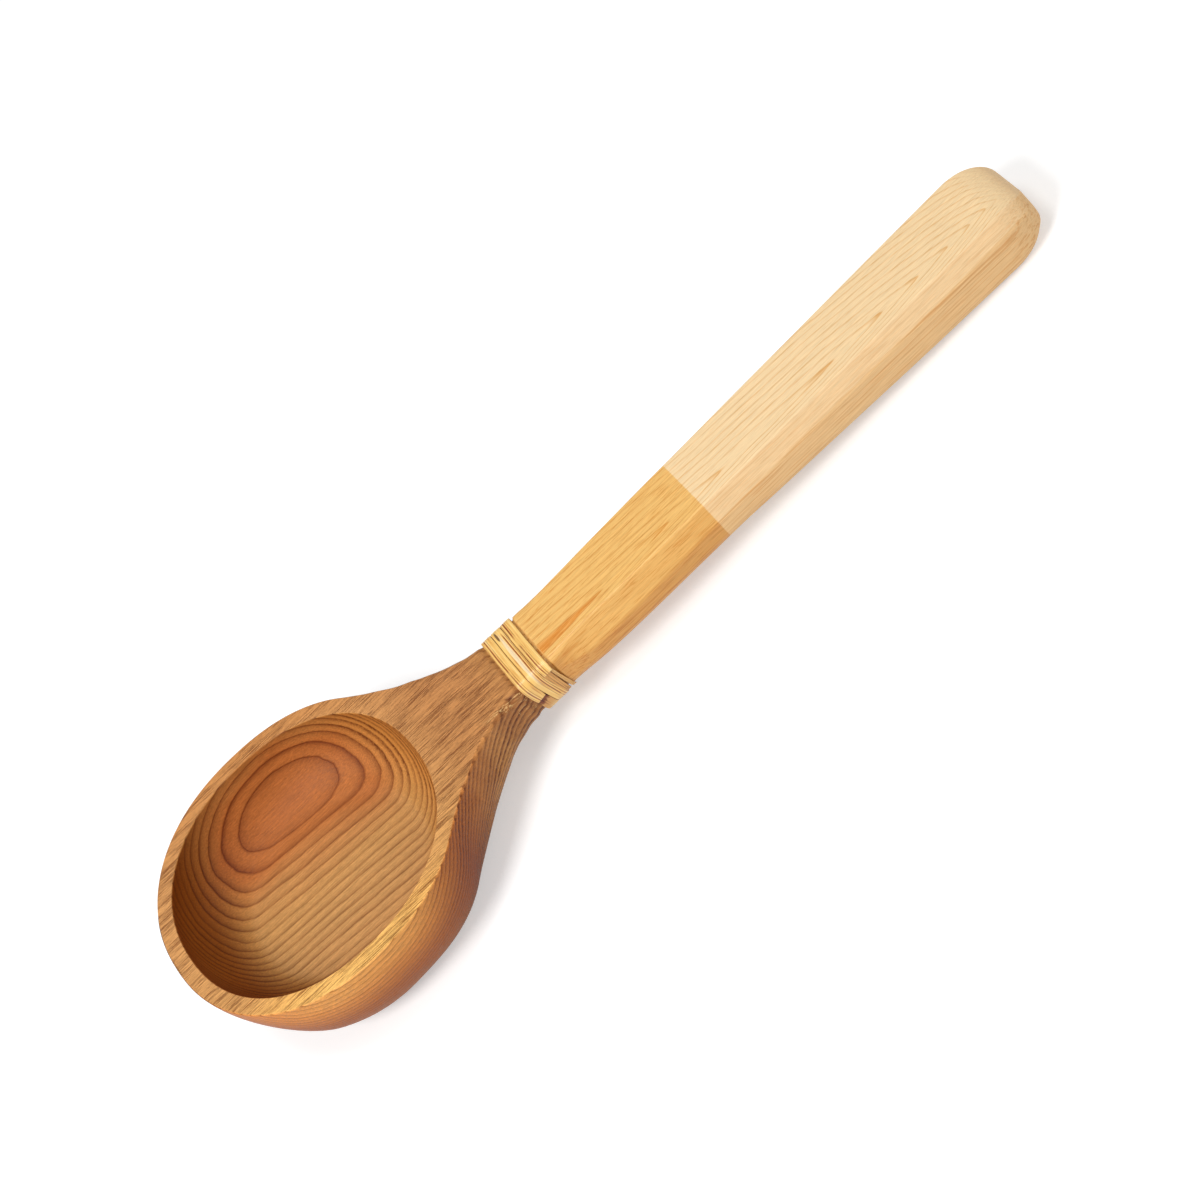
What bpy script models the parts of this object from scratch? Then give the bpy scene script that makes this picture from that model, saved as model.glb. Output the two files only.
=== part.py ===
"""Sauna ladle: a cedar bowl and neck cut from one block, a tapering softwood handle doweled to
it end to end, and one strand of split cane wound over the joint.

Lengths are in metres. The ladle's own axes are X from the bowl's centre to the handle's tip, Y
across, and Z up from the rim. The whole ladle leans by a small angle that follows from the sizes,
so that it lies on its flat foot and on the underside of the handle's tip."""

import math

import bmesh
import bpy
import numpy as np
from mathutils import Vector
from mathutils.geometry import interpolate_bezier

# Whole ladle
overallLength = 0.4005
clearance = 0.0003  # gap between pieces that touch

# Bowl, seen from above
bowlRadius = 0.0603  # from the bowl's centre to the front and to the sides
outlinePower = 2.2  # 2 is a true circle, more is squarer
rimWall = 0.0065  # rim thickness between the outside and the cavity
rimOuterRound = 0.0007
rimInnerRound = 0.0005

# Bowl, seen from the side
bowlHeight = 0.0405  # from the rim down to the foot, under the bowl's centre
frontRoundOver = (0.045, 0.034)  # lower round-over at the front: inward and upward
sideRoundOver = (0.022, 0.036)  # the same at the bowl's sides
neckRoundOver = (0.018, 0.033)  # the same where the neck leaves the bowl
frontLift = 0.010  # how much higher the underside is at the very front
frontLiftStart = 0.030  # where it starts to rise, ahead of the bowl's centre
cavityDepth = 0.025
cavityFloorRadius = 0.033

# Neck
neckLeaveAngle = math.radians(45)  # where the outline leaves the bowl
neckCurveLead = 0.017  # how far the outline runs on before it bends
neckCurveTail = 0.018  # how long it runs straight before the joint
neckDropStart = 0.038  # where the underside starts to rise, from the bowl's centre

# Joint between neck and handle
jointReach = 0.102  # from the bowl's centre to the joint
neckEdgeStart = 0.070  # up to here the neck's upper edges are as sharp as the rim
jointDip = 0.0010  # how far the top faces lie below the rim plane at the joint
jointDrawnIn = 0.0006  # how much thinner both woods are under the cane
drawInLength = (0.0022, 0.0030)  # how gently: on the neck and on the handle
dowelDiameter = 0.010
dowelLength = 0.050

# Handle. Each shape holds half the flat top's width, half the whole width, the shoulder's drop,
# the depth, and the rounds of the ridge, the shoulder and the lower edge
jointShape = (0.0151, 0.0154, 0.0070, 0.0190, 0.0032, 0.0030, 0.0055)
gripShape = (0.0140, 0.0186, 0.0085, 0.0172, 0.0012, 0.0035, 0.0050)
tipShape = (0.0152, 0.0190, 0.0064, 0.0254, 0.0012, 0.0035, 0.0065)
flareLength = 0.016  # behind the binding, from the joint's shape to the grip's
handleRise = 0.030  # how much the handle rises from the joint for its length
tipCorner = (0.019, 0.0130)  # corners of the tip seen from above: along and across
tipTopRoll = (0.016, 0.0022)  # how the upper face falls away at the tip
tipUnderRoll = (0.016, 0.0050)  # how the underside rises at the tip

# Cane binding
caneWidth = 0.0042
caneThickness = 0.0012
caneSquareness = 0.6  # of its section: 1 is an ellipse, less is squarer
caneTurns = 3  # bands across the top
canePitch = 0.0048
caneLastTurn = 0.80  # how much of its last turn the strand makes
caneStepStart = 0.58  # where in each turn it starts to move on

# Worked out from the sizes above
tipReach = overallLength - bowlRadius
lowTipReach = tipReach - tipUnderRoll[0]
lowTipDepth = jointDip + tipShape[3] - (lowTipReach - jointReach) * handleRise
lean = math.atan((bowlHeight - lowTipDepth) / lowTipReach)
cavityRadius = bowlRadius - rimWall
bindingWidth = (caneTurns - 1) * canePitch + caneWidth
bindingStart = jointReach - bindingWidth / 2
lastShare = (caneLastTurn - caneStepStart) / (1 - caneStepStart)
lastStep = canePitch * lastShare * lastShare * (3 - 2 * lastShare)
bindingEnd = jointReach + bindingWidth / 2 + lastStep
jointHalf, jointDepth, jointRidge, jointLower = (jointShape[i] for i in (1, 3, 4, 6))
dowelDepth = jointDip + jointDepth / 2

# Facets
bowlStations = 40
neckStations = 18
flareStations = 6
handleStations = 10
tipStations = 11
edgeSteps = 3
wallSteps = 9
cavityFacets = 72
cavitySteps = 9
cornerSteps = 6
cornerPull = 0.55  # how far a rounded corner's curve is pulled towards its corner
cornerShare = 0.49  # the most of a side that one rounded corner takes


def blend(first, last, share):
    """Straight blend of two values."""
    return first + (last - first) * share


def eased(share):
    """A share from 0 to 1 that starts and ends level."""
    share = min(max(share, 0.0), 1.0)
    return share * share * (3 - 2 * share)


def easedBlend(first, last, share):
    return blend(first, last, eased(share))


def mixed(first, last, share):
    """Straight blend of two lists of sizes."""
    return [blend(size, other, share) for size, other in zip(first, last)]


def roundedCircle(radius, angle):
    """Radius at an angle of the slightly squared circle that the bowl and cavity share."""
    across = abs(math.cos(angle)) ** outlinePower
    along = abs(math.sin(angle)) ** outlinePower
    return radius / (across + along) ** (1 / outlinePower)


def onCircle(radius, angle):
    reach = roundedCircle(radius, angle)
    return Vector((reach * math.cos(angle), reach * math.sin(angle), 0))


def footDepth(x):
    """Depth below the rim plane of the flat that the ladle lies on."""
    return bowlHeight - x * math.tan(lean)


def headDepth(x):
    """Depth of the underside of the bowl and neck below the rim plane."""
    share = (x - neckDropStart) / (bindingStart - neckDropStart)
    lift = easedBlend(0, frontLift, (-x - frontLiftStart) / (bowlRadius - frontLiftStart))
    return easedBlend(footDepth(x), jointDip + jointDepth, share) - lift


def handleShape(x):
    """Shape of the handle at x, before its tip is rounded."""
    along = max(0.0, (x - bindingEnd) / (lowTipReach - bindingEnd))
    grown = mixed(gripShape, tipShape, along)
    return mixed(jointShape, grown, eased((x - bindingEnd) / flareLength))


def drawnIn(x):
    """How far the wood's surface is drawn in at x, for the cane to lie on."""
    onNeck = (x - bindingStart + drawInLength[0]) / drawInLength[0]
    onHandle = (bindingEnd + drawInLength[1] - x) / drawInLength[1]
    return easedBlend(0, jointDrawnIn, min(onNeck, onHandle))


def newCollection(name):
    made = bpy.data.collections.new(name)
    bpy.context.scene.collection.children.link(made)
    return made


def newMaterial(name, colour, roughness):
    """Plain Principled material of one colour; nothing on this ladle is metal."""
    material = bpy.data.materials.new(name)
    material.use_nodes = True
    shader = material.node_tree.nodes["Principled BSDF"]
    shader.inputs["Base Color"].default_value = (*colour, 1)
    shader.inputs["Roughness"].default_value = roughness
    shader.inputs["Metallic"].default_value = 0.0
    return material


def meshObject(name, mesh, collection, ladle, material=None):
    """Puts a mesh into the scene in the ladle's own axes."""
    made = bpy.data.objects.new(name, mesh)
    collection.objects.link(made)
    made.parent = ladle
    if material:
        mesh.materials.append(material)
        mesh.polygons.foreach_set("use_smooth", [True] * len(mesh.polygons))
        mesh.set_sharp_from_angle(angle=math.radians(35))
    else:
        made.hide_render = True
        made.display_type = "WIRE"
    return made


def loft(name, sections, closed, capStart, capEnd):
    """Skins sections of equal count with quads; closed joins each section's last point to its first."""
    shape = bmesh.new()
    rows = [[shape.verts.new(point) for point in section] for section in sections]
    count = len(rows[0])
    for near, far in zip(rows, rows[1:]):
        for i in range(count if closed else count - 1):
            j = (i + 1) % count
            shape.faces.new((near[i], near[j], far[j], far[i]))
    if capStart:
        shape.faces.new(reversed(rows[0]))
    if capEnd:
        shape.faces.new(rows[-1])
    bmesh.ops.remove_doubles(shape, verts=shape.verts, dist=1e-6)
    bmesh.ops.dissolve_degenerate(shape, edges=shape.edges, dist=1e-6)
    bmesh.ops.recalc_face_normals(shape, faces=shape.faces)
    mesh = bpy.data.meshes.new(name)
    shape.to_mesh(mesh)
    shape.free()
    return mesh


def mirrorAcross(piece):
    """Completes a half that is open at Y = 0."""
    mirror = piece.modifiers.new("Mirror", "MIRROR")
    mirror.use_axis = (False, True, False)
    mirror.use_clip = True
    mirror.merge_threshold = 0.00001


def cutWith(piece, cutter):
    boolean = piece.modifiers.new(cutter.name, "BOOLEAN")
    boolean.operation = "DIFFERENCE"
    boolean.solver = "EXACT"
    boolean.object = cutter


def headOutline():
    """Half outline of the bowl and neck from above, front to joint, each point with its hub.

    The hub is where the outline's inward normal meets the axis: the bowl's centre all round the
    bowl, then a point that travels along the neck."""
    stations = []
    for i in range(bowlStations):
        angle = blend(math.pi, neckLeaveAngle, i / bowlStations)
        stations.append((onCircle(bowlRadius, angle), Vector((0, 0, 0))))
    start = onCircle(bowlRadius, neckLeaveAngle)
    ahead = Vector((start.y, -start.x, 0)).normalized()
    end = Vector((bindingStart, jointHalf, 0))
    lead = start + ahead * neckCurveLead
    tail = end - Vector((neckCurveTail, 0, 0))
    curve = interpolate_bezier(start, lead, tail, end, neckStations)
    for before, point, after in zip([start] + curve, curve, curve[1:] + [end]):
        slope = (after.y - before.y) / (after.x - before.x)
        stations.append((point, Vector((point.x + point.y * slope, 0, 0))))
    joint = end + Vector((jointReach - clearance / 2 - end.x, 0, 0))
    stations.append((joint, Vector((joint.x, 0, 0))))
    return stations


def headSection(edge, hub):
    """Half section of the head from the top's centre line, over the rim's edge, to the underside."""
    inset = drawnIn(edge.x)
    inward = (hub - edge).normalized()
    edge = edge + inward * inset
    turned = sideRoundOver
    if edge.x < 0:
        turned = mixed(turned, frontRoundOver, (edge.x / bowlRadius) ** 2)
    else:
        turned = mixed(turned, neckRoundOver, eased(edge.x / onCircle(bowlRadius, neckLeaveAngle).x))
    across, upward = mixed(turned, 2 * [jointLower - inset], eased(hub.x / bindingStart))
    edgeShare = (edge.x - neckEdgeStart) / (bindingStart - neckEdgeStart)
    rim = easedBlend(rimOuterRound, jointRidge - inset, edgeShare)
    top = inset + easedBlend(0, jointDip, edgeShare)
    points = [Vector((edge.x, 0, -top))]
    for i in range(edgeSteps + 1):
        turn = math.pi / 2 * i / edgeSteps
        place = edge + inward * rim * (1 - math.sin(turn))
        points.append(place - Vector((0, 0, top + rim * (1 - math.cos(turn)))))
    for i in range(wallSteps + 1):
        turn = math.pi / 2 * i / wallSteps
        place = edge + inward * across * (1 - math.cos(turn))
        depth = headDepth(place.x) - inset - upward * (1 - math.sin(turn))
        points.append(place - Vector((0, 0, depth)))
    points.append(hub - Vector((0, 0, headDepth(hub.x) - inset)))
    return points


def makeBowlHead(collection, cutters, ladle):
    """Bowl and neck in one piece of cedar."""
    sections = [headSection(edge, hub) for edge, hub in headOutline()]
    mesh = loft("bowl_head", sections, closed=False, capStart=False, capEnd=True)
    material = newMaterial("cedar", (0.42, 0.20, 0.085), 0.5)
    head = meshObject("bowl_head", mesh, collection, ladle, material)
    mirrorAcross(head)
    cutWith(head, makeCavityCutter(cutters, ladle))
    cutWith(head, makeBoreCutter("neck_bore", -1, cutters, ladle))
    return head


def makeCavityCutter(cutters, ladle):
    """The hollow: upright at the rim, a quarter-round wall, then a flat floor."""
    profile = [(cavityRadius + rimInnerRound, 0.004)]
    for i in range(edgeSteps + 1):
        turn = math.pi / 2 * i / edgeSteps
        reach = cavityRadius + rimInnerRound * (1 - math.sin(turn))
        profile.append((reach, -rimInnerRound * (1 - math.cos(turn))))
    wallReach = cavityRadius - cavityFloorRadius
    wallDrop = cavityDepth - rimInnerRound
    for i in range(1, cavitySteps + 1):
        turn = math.pi / 2 * i / cavitySteps
        reach = cavityFloorRadius + wallReach * math.cos(turn)
        profile.append((reach, -rimInnerRound - wallDrop * math.sin(turn)))
    sections = []
    for radius, height in profile:
        angles = [math.tau * i / cavityFacets for i in range(cavityFacets)]
        lift = Vector((0, 0, height))
        sections.append([onCircle(radius, angle) + lift for angle in angles])
    mesh = loft("cavity", sections, closed=True, capStart=True, capEnd=True)
    return meshObject("cavity_cutter", mesh, cutters, ladle)


def makeRod(name, diameter, start, end, collection, ladle, material=None):
    """Round rod along the ladle's axis at the dowel's depth, turned from its profile."""
    mesh = bpy.data.meshes.new(name)
    shape = bmesh.new()
    bmesh.ops.create_cone(
        shape, cap_ends=True, segments=24, radius1=diameter / 2, radius2=diameter / 2, depth=end - start
    )
    shape.to_mesh(mesh)
    shape.free()
    rod = meshObject(name, mesh, collection, ladle, material)
    rod.rotation_euler = (0, math.pi / 2, 0)
    rod.location = ((start + end) / 2, 0, -dowelDepth)
    return rod


def makeBoreCutter(name, side, cutters, ladle):
    """Blind bore for half of the dowel; side is -1 in the neck and 1 in the handle."""
    bottom = jointReach + side * (dowelLength / 2 + clearance)
    mouth = jointReach - side * 2 * clearance
    ends = sorted((bottom, mouth))
    return makeRod(name, dowelDiameter + 2 * clearance, ends[0], ends[1], cutters, ladle)


def makeDowel(collection, ladle):
    """Hidden hardwood dowel that joins the two woods end to end."""
    start = jointReach - dowelLength / 2
    material = newMaterial("dowel_wood", (0.60, 0.42, 0.24), 0.6)
    return makeRod("joint_dowel", dowelDiameter, start, start + dowelLength, collection, ladle, material)


def filletedSection(x, top, shape):
    """Half section of the handle, from the top's centre line over its three rounded corners."""
    flat, half, drop, depth, *rounds = shape
    corners = [Vector((x, y, -z)) for y, z in ((flat, top), (half, top + drop), (half, depth))]
    line = [Vector((x, 0, -top)), *corners, Vector((x, 0, -depth))]
    points = [line[0]]
    for before, corner, after, radius in zip(line, corners, line[2:], rounds):
        arriving, leaving = before - corner, after - corner
        cut = radius / math.tan(arriving.angle(leaving) / 2)
        cut = min(cut, cornerShare * arriving.length, cornerShare * leaving.length)
        start = corner + arriving.normalized() * cut
        end = corner + leaving.normalized() * cut
        pulled = [place.lerp(corner, cornerPull) for place in (start, end)]
        points += interpolate_bezier(start, *pulled, end, cornerSteps)
    return points + [line[-1]]


def quarterFall(x, length, drop):
    """How far a quarter ellipse of this length and drop has fallen at x, with its end at the tip."""
    along = max(0.0, (x - (tipReach - length)) / length)
    return drop * (1 - math.sqrt(max(0.0, 1 - along * along)))


def handleSection(x):
    """Half section of the handle at x, drawn in under the cane and rounded off at the tip."""
    flat, half, drop, depth, *rounds = handleShape(x)
    inset = drawnIn(x)
    narrowed = inset + quarterFall(x, *tipCorner)
    rise = (x - jointReach) * handleRise - jointDip
    top = inset + quarterFall(x, *tipTopRoll) - rise
    depth -= inset + quarterFall(x, *tipUnderRoll) + rise
    shape = (flat - narrowed, half - narrowed, drop, depth, *rounds)
    return filletedSection(x, top, shape)


def handlePlaces():
    """Places of the handle's sections: close in the flare, even along its length, close at the tip."""
    flareEnd = bindingEnd + flareLength
    curveStart = tipReach - tipCorner[0]
    flare = [blend(bindingEnd, flareEnd, i / flareStations) for i in range(flareStations)]
    straight = [blend(flareEnd, curveStart, i / handleStations) for i in range(handleStations)]
    curved = [math.sin(math.pi / 2 * i / tipStations) for i in range(tipStations + 1)]
    return flare + straight + [blend(curveStart, tipReach, share) for share in curved]


def makeHandle(collection, cutters, ladle):
    """Handle in one piece of softwood, flat on top, thicker and wider towards the tip."""
    sections = [handleSection(x) for x in [jointReach + clearance / 2] + handlePlaces()]
    mesh = loft("handle", sections, closed=False, capStart=True, capEnd=True)
    material = newMaterial("softwood", (0.80, 0.55, 0.30), 0.5)
    handle = meshObject("handle", mesh, collection, ladle, material)
    mirrorAcross(handle)
    cutWith(handle, makeBoreCutter("handle_bore", 1, cutters, ladle))
    return handle


def caneLoop():
    """One turn round the drawn-in wood at the strand's middle, from the underside up the far side."""
    flat, wide, drop, depth, *rounds = jointShape
    half = filletedSection(0, jointDip, (flat, wide, drop, jointDip + depth, *rounds))
    far = list(reversed(half))
    around = far + [Vector((0, -point.y, point.z)) for point in half[1:]]
    lift = clearance + caneThickness / 2 - jointDrawnIn
    corners = []
    for before, place, after in zip([around[-2]] + around, around, around[1:] + [around[1]]):
        along = (after - before).normalized()
        corners.append(place + Vector((0, along.z, -along.y)) * lift)
    loop = []
    for place, following in zip(corners, corners[1:]):
        steps = 1 + int((following - place).length / (3 * caneThickness))
        loop += [place.lerp(following, i / steps) for i in range(steps)]
    return loop


def canePath():
    """Places and outward directions of the strand along its route.

    One turn runs from under the ladle up the far side, square across the top and down the near
    side, and moves on by one pitch there and underneath."""
    loop = caneLoop()
    count = len(loop)
    gaps = [(loop[i] - loop[i - 1]).length for i in range(count)]
    gone = [sum(gaps[1:i + 1]) / sum(gaps) for i in range(count)]
    firstBand = jointReach - (caneTurns - 1) / 2 * canePitch
    route = []
    for turn in range(caneTurns):
        for spot in range(count):
            if turn + 1 == caneTurns and gone[spot] > caneLastTurn:
                break
            step = easedBlend(0, 1, (gone[spot] - caneStepStart) / (1 - caneStepStart))
            place = loop[spot] + Vector((firstBand + (turn + step) * canePitch, 0, 0))
            along = loop[(spot + 1) % count] - loop[spot - 1]
            route.append((place, Vector((0, along.z, -along.y)).normalized()))
    return route, count


def makeCane(collection, ladle):
    """One unbroken strand of flat split cane, wound over the joint, its ends cut square underneath."""
    route, count = canePath()
    sections = []
    for place, outward in route:
        ring = []
        for corner in range(8):
            turn = math.tau * (corner + 0.5) / 8
            across = math.copysign(abs(math.cos(turn)) ** caneSquareness, math.cos(turn)) * caneWidth / 2
            up = math.copysign(abs(math.sin(turn)) ** caneSquareness, math.sin(turn)) * caneThickness / 2
            ring.append(place + Vector((across, 0, 0)) + outward * up)
        sections.append(ring)
    print("least gap of the cane to itself: %.2f mm" % (1000 * leastGap(sections, count)))
    mesh = loft("cane_binding", sections, closed=True, capStart=True, capEnd=True)
    material = newMaterial("cane", (0.72, 0.48, 0.20), 0.35)
    return meshObject("cane_binding", mesh, collection, ladle, material)


def leastGap(sections, count):
    """Least distance between points of the strand that are more than half a turn apart."""
    rings = np.array([[tuple(point) for point in ring] for ring in sections])
    least = math.inf
    for i in range(len(rings) - count // 2):
        others = rings[i + count // 2:].reshape(-1, 1, 3)
        least = min(least, float(np.linalg.norm(others - rings[i], axis=2).min()))
    return least


def makeLadle():
    for old in list(bpy.data.objects):
        bpy.data.objects.remove(old)
    pieces = newCollection("sauna_ladle")
    cutters = newCollection("cutters")
    ladle = bpy.data.objects.new("ladle_axes", None)
    pieces.objects.link(ladle)
    ladle.rotation_euler = (0, lean, 0)
    ladle.location = (0, 0, bowlHeight * math.cos(lean))
    makeBowlHead(pieces, cutters, ladle)
    makeHandle(pieces, cutters, ladle)
    makeDowel(pieces, ladle)
    makeCane(pieces, ladle)
    print("lean of the rim plane: %.2f degrees" % math.degrees(lean))


makeLadle()
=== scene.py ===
import math

import bmesh
import bpy
from mathutils import Matrix, Vector, noise
from mathutils.geometry import interpolate_bezier


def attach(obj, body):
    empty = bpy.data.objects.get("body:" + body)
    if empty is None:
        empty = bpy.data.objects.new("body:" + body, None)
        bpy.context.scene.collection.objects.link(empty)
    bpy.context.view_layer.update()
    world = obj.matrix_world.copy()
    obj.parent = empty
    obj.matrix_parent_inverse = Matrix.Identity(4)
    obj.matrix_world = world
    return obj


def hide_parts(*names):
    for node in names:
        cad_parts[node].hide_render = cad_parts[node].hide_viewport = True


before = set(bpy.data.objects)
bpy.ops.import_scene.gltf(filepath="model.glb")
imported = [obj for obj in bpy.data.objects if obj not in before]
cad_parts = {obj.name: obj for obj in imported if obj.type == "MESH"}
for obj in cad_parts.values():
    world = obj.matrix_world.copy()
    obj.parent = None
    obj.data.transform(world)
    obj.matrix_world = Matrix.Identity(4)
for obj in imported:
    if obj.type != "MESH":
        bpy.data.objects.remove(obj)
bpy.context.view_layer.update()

# The ladle lies on its foot and on the handle's tip, so its rim plane leans. Shapes and grain are
# worked out in the ladle's own axes: X from the bowl's centre to the tip, Y across, Z up from the rim.
ladle = {
    "length": 0.4005,
    "lean": math.radians(3.665),
    "rimHeight": 0.0405,  # from the rim down to the foot, under the bowl's centre
    "clearance": 0.0003,
    "jointReach": 0.102,
    "jointDip": 0.0010,  # how far the top faces lie below the rim plane at the joint
    # half the flat top, half the width, the shoulder's drop, the depth, and the rounds of the ridge,
    # the shoulder and the lower edge
    "jointShape": (0.0151, 0.0154, 0.0070, 0.0190, 0.0032, 0.0030, 0.0055),
    "drawnIn": 0.0006,  # how much thinner both woods are under the cane
    "drawInEnd": 0.1090,  # where the handle comes out of the cane
    "drawInLength": (0.0022, 0.0008),  # of the slopes into the cane and out of it
    "dowel": 0.010,
    "dowelLength": 0.050,
    "boreFacets": 48,
    "boreOverrun": 0.001,  # how far a bore's cutter runs past the joint
}
ladleAxes = (
    Matrix.Translation((0, 0, ladle["rimHeight"] * math.cos(ladle["lean"])))
    @ Matrix.Rotation(ladle["lean"], 4, "Y")
)
up = Vector((0, 0, 1))
millimetre = 0.001  # the materials work in millimetres

bowl = {
    "radius": 0.0603,
    "outlinePower": 2.2,  # 2 is a true circle, more is squarer
    "rimWall": 0.0065,
    "outerRound": 0.0007,
    "innerRound": 0.0005,
    "frontRoundOver": (0.045, 0.034),  # lower round-over: inward and upward
    "sideRoundOver": (0.022, 0.036),
    "neckRoundOver": (0.018, 0.033),
    "frontLift": 0.010,
    "frontLiftStart": 0.030,
    "hollowDepth": 0.025,
    "hollowFloor": 0.033,
    "leaveAngle": math.radians(45),  # where the neck's outline leaves the bowl
    "curveLead": 0.017,
    "curveTail": 0.018,
    "dropStart": 0.038,
    "edgeStart": 0.070,  # up to here the neck's edges are as sharp as the rim
    "stations": 120,
    "neckStations": 70,
    "edgeSteps": 5,
    "wallSteps": 26,
    "jointStations": 3,
    "hollowFacets": 220,
    "hollowSteps": 28,
    "cutterRise": 0.004,  # how far the hollow's cutter stands above the rim
}

# The neck's ridges are cut by hand near the cane, the near one more than the far one
hewn = {
    "start": 0.044,
    "full": 0.064,
    "end": 0.0935,
    "fade": 0.004,
    "ridge": 0.0011,
    "flank": 0.00045,
    "farShare": 0.45,
    "farSeed": 3.7,
    "cut": (0.0052, 0.0045),  # length and height of one cut
    "mean": 0.35,  # of the cuts' depth, and how far it swings
    "swing": 1.1,
}

grip = {
    # rows of a place along the ladle, half the flat top, half the width and the depth there
    "profile": (
        (0.1115, 0.0149, 0.0154, 0.0190), (0.1160, 0.0137, 0.0165, 0.0181),
        (0.1220, 0.0130, 0.0176, 0.0173), (0.1300, 0.0130, 0.0181, 0.0175),
        (0.1440, 0.0134, 0.0183, 0.0181), (0.1750, 0.0140, 0.0182, 0.0191),
        (0.1930, 0.0141, 0.0181, 0.0196), (0.2100, 0.0143, 0.0183, 0.0205),
        (0.2450, 0.0146, 0.0186, 0.0221), (0.2800, 0.0149, 0.0189, 0.0237),
        (0.3242, 0.0152, 0.0190, 0.0254),
    ),
    # the shoulder's drop and the rounds of the ridge, the shoulder and the lower edge, past the flare
    "gripEdges": (0.0085, 0.0012, 0.0035, 0.0050),
    "tipEdges": (0.0064, 0.0012, 0.0035, 0.0065),
    "flareLength": 0.016,
    "rise": 0.030,  # how much the handle rises from the joint for its length
    # length and depth of the tip's rounds at its corners, on top and underneath
    "tipCorner": (0.019, 0.0080),
    "topRoll": (0.016, 0.0075),
    "underRoll": (0.016, 0.0075),
    "flareStations": 70,
    "stations": 110,
    "tipStations": 30,
    "cornerSteps": 10,
    "cornerPull": 0.55,  # how far a round reaches towards its corner
    "cornerShare": 0.49,  # the most of a side that one round may take
}

# The solids' winding, which says where the binding starts and ends
binding = {
    "pitch": 0.0048,
    "width": 0.0138,  # of its three turns side by side
    "lastTurn": 0.80,  # how far round the last turn goes
    "stepStart": 0.58,  # how far round the strand starts to move on
}

# What is done to each wood's mesh. Points closer than the first two become one.
meshing = {
    "merge": 1e-6,
    "sliver": 3e-6,  # after the cuts
    "sharpAngle": math.radians(40),
    "evenWeight": 80,
}


def blend(first, last, share):
    return first + (last - first) * share


def eased(share):
    share = min(max(share, 0.0), 1.0)
    return share * share * (3 - 2 * share)


def easedBlend(first, last, share):
    return blend(first, last, eased(share))


tipReach = ladle["length"] - bowl["radius"]
lowTipReach = tipReach - grip["underRoll"][0]
bindingStart = ladle["jointReach"] - binding["width"] / 2
lastStep = binding["pitch"] * eased(
    (binding["lastTurn"] - binding["stepStart"]) / (1 - binding["stepStart"])
)
bindingEnd = ladle["jointReach"] + binding["width"] / 2 + lastStep
hollowRadius = bowl["radius"] - bowl["rimWall"]
dowelDepth = ladle["jointDip"] + ladle["jointShape"][3] / 2


def mixed(first, last, share):
    return [blend(size, other, share) for size, other in zip(first, last)]


def onCircle(radius, angle):
    # the slightly squared circle that the bowl and its hollow share
    power = bowl["outlinePower"]
    reach = radius / (abs(math.cos(angle)) ** power + abs(math.sin(angle)) ** power) ** (1 / power)
    return Vector((reach * math.cos(angle), reach * math.sin(angle), 0))


def drawnIn(x):
    into, out = ladle["drawInLength"]
    onNeck = (x - bindingStart + into) / into
    onHandle = (ladle["drawInEnd"] + out - x) / out
    return easedBlend(0, ladle["drawnIn"], min(onNeck, onHandle))


def mergeClose(shape, distance):
    bmesh.ops.remove_doubles(shape, verts=shape.verts, dist=distance)
    bmesh.ops.dissolve_degenerate(shape, edges=shape.edges, dist=distance)


def skin(name, rings, caps):
    # joins closed rings of equal count into one closed mesh, in world places
    shape = bmesh.new()
    rows = [[shape.verts.new(ladleAxes @ point) for point in ring] for ring in rings]
    count = len(rows[0])
    for near, far in zip(rows, rows[1:]):
        for i in range(count):
            j = (i + 1) % count
            shape.faces.new((near[i], near[j], far[j], far[i]))
    if caps[0]:
        shape.faces.new(reversed(rows[0]))
    if caps[1]:
        shape.faces.new(rows[-1])
    mergeClose(shape, meshing["merge"])
    bmesh.ops.recalc_face_normals(shape, faces=shape.faces)
    mesh = bpy.data.meshes.new(name)
    shape.to_mesh(mesh)
    shape.free()
    return mesh


def place(name, mesh):
    piece = bpy.data.objects.new(name, mesh)
    bpy.context.scene.collection.objects.link(piece)
    return piece


def ringOf(near, far):
    # halves that run from the top's centre line to the underside's, on the near and the far side
    left = [Vector((point.x, -point.y, point.z)) for point in near]
    return left + list(reversed(far[1:-1]))


def smoothed(mesh):
    mesh.polygons.foreach_set("use_smooth", [True] * len(mesh.polygons))


def plainMesh(piece, name):
    # the piece as its modifiers leave it, with the piece itself taken away
    mesh = bpy.data.meshes.new_from_object(piece.evaluated_get(bpy.context.evaluated_depsgraph_get()))
    bpy.data.objects.remove(piece)
    mesh.name = name
    return mesh


def finished(name, rough, cutters, material):
    # cuts a piece, clears thin slivers, evens its shading and makes the result a plain mesh
    for cutter in cutters:
        cut = rough.modifiers.new(cutter.name, "BOOLEAN")
        cut.operation = "DIFFERENCE"
        cut.solver = "EXACT"
        cut.object = cutter
    for own in (rough, *cutters):
        smoothed(own.data)
    mesh = plainMesh(rough, name)
    for cutter in cutters:
        bpy.data.objects.remove(cutter)
    shape = bmesh.new()
    shape.from_mesh(mesh)
    mergeClose(shape, meshing["sliver"])
    shape.to_mesh(mesh)
    shape.free()
    mesh.set_sharp_from_angle(angle=meshing["sharpAngle"])
    even = place(name, mesh)
    weighted = even.modifiers.new("even shading", "WEIGHTED_NORMAL")
    weighted.keep_sharp = True
    weighted.weight = meshing["evenWeight"]
    piece = place(name, plainMesh(even, name))
    piece.data.materials.clear()
    piece.data.materials.append(material)
    return piece


def footDepth(x):
    return ladle["rimHeight"] - x * math.tan(ladle["lean"])


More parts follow.
